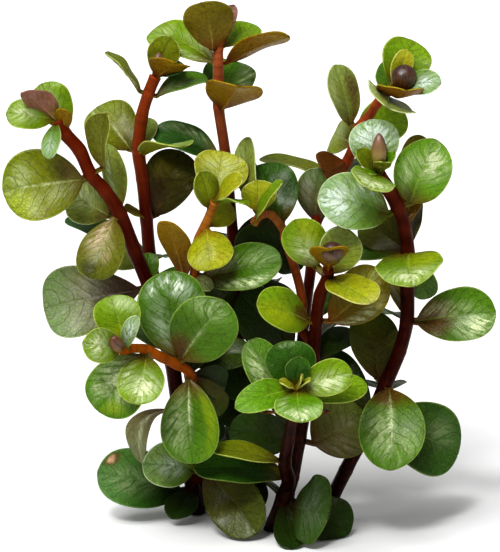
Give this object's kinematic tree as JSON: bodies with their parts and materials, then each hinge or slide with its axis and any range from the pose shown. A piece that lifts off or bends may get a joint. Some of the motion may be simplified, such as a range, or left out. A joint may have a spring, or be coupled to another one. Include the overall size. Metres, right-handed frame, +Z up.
{
  "type": "aquarium stem plant",
  "caption": "Clump of upright leafy aquarium plant shoots with glossy oval leaves in opposite pairs on red stems, cut off flat at the foot.",
  "frame": {"origin": "on the ground, under the middle of the clump", "axes": "+Z up along the shoots, +X to the viewer's right, and the viewer on the side of -Y"},
  "size_m": [0.07, 0.0426, 0.0778],
  "materials": {
    "yellow_leaf": "satin, young leaves of the tips",
    "lime_leaf": "satin, upper leaves",
    "green_leaf": "satin with a silvery glare, older leaves",
    "olive_leaf": "satin, undersides and reddish leaves",
    "dark_leaf": "satin, low shaded leaves",
    "pale_leaf": "silvery green, waxy",
    "stem": "satin deep red-brown stems, with closed purple-brown tips"
  },
  "bodies": {
    "root": {"stem_far_left": "stem", "leaf_far_left_ground": "green_leaf", "leaf_far_left_grey_arched": "olive_leaf", "leaf_far_left_squarish": "pale_leaf", "leaf_far_left_wrinkled": "lime_leaf", "leaf_far_left_drooping": "olive_leaf", "leaf_far_left_round": "lime_leaf", "leaf_far_left_cupped": "lime_leaf", "leaf_far_left_top_back": "lime_leaf", "stem_mid_left": "stem", "leaf_mid_left_dark_olive": "dark_leaf", "leaf_mid_left_back": "lime_leaf", "leaf_mid_left_flat": "lime_leaf", "leaf_mid_left_wing_left": "green_leaf", "leaf_mid_left_wing_right": "green_leaf", "leaf_mid_left_top_back": "lime_leaf", "stem_tall": "stem", "leaf_tall_dark_left": "green_leaf", "leaf_tall_brown_front": "olive_leaf", "leaf_tall_back": "green_leaf", "leaf_tall_bright_left": "lime_leaf", "leaf_tall_golden_right": "olive_leaf", "leaf_tall_olive_front": "olive_leaf", "stem_centre_left": "stem", "leaf_centre_left_olive_back": "olive_leaf", "leaf_centre_left_long_right": "green_leaf", "leaf_centre_left_heart": "yellow_leaf", "leaf_centre_left_top_yellow": "yellow_leaf", "stem_arching": "stem", "leaf_arching_dark_green": "green_leaf", "leaf_arching_veined": "pale_leaf", "stem_front_left": "stem", "leaf_front_left_pale_squarish": "pale_leaf", "leaf_front_left_to_ground": "dark_leaf", "leaf_front_left_hanging": "green_leaf", "leaf_front_left_glossy": "green_leaf", "leaf_front_left_round_right": "green_leaf", "leaf_front_left_glare": "lime_leaf", "leaf_front_left_low_left": "green_leaf", "leaf_front_left_upper": "lime_leaf", "stem_round_bud": "stem", "leaf_round_bud_fan": "green_leaf", "leaf_round_bud_on_ground": "dark_leaf", "leaf_round_bud_dark_right": "dark_leaf", "leaf_round_bud_yellow_left": "lime_leaf", "leaf_round_bud_olive_right": "olive_leaf", "leaf_round_bud_big_left": "lime_leaf", "stem_front_rosette": "stem", "leaf_front_rosette_back": "green_leaf", "stem_right": "stem", "leaf_right_behind_low": "dark_leaf", "leaf_right_hanging": "green_leaf", "leaf_right_upright": "dark_leaf", "leaf_right_long_right": "green_leaf", "leaf_right_yellow_front": "lime_leaf", "leaf_right_big_right": "green_leaf", "leaf_right_big_left": "pale_leaf", "stem_thin_right": "stem", "leaf_thin_right_large_dark": "dark_leaf", "leaf_thin_right_upright": "lime_leaf"}
  },
  "joints": []
}
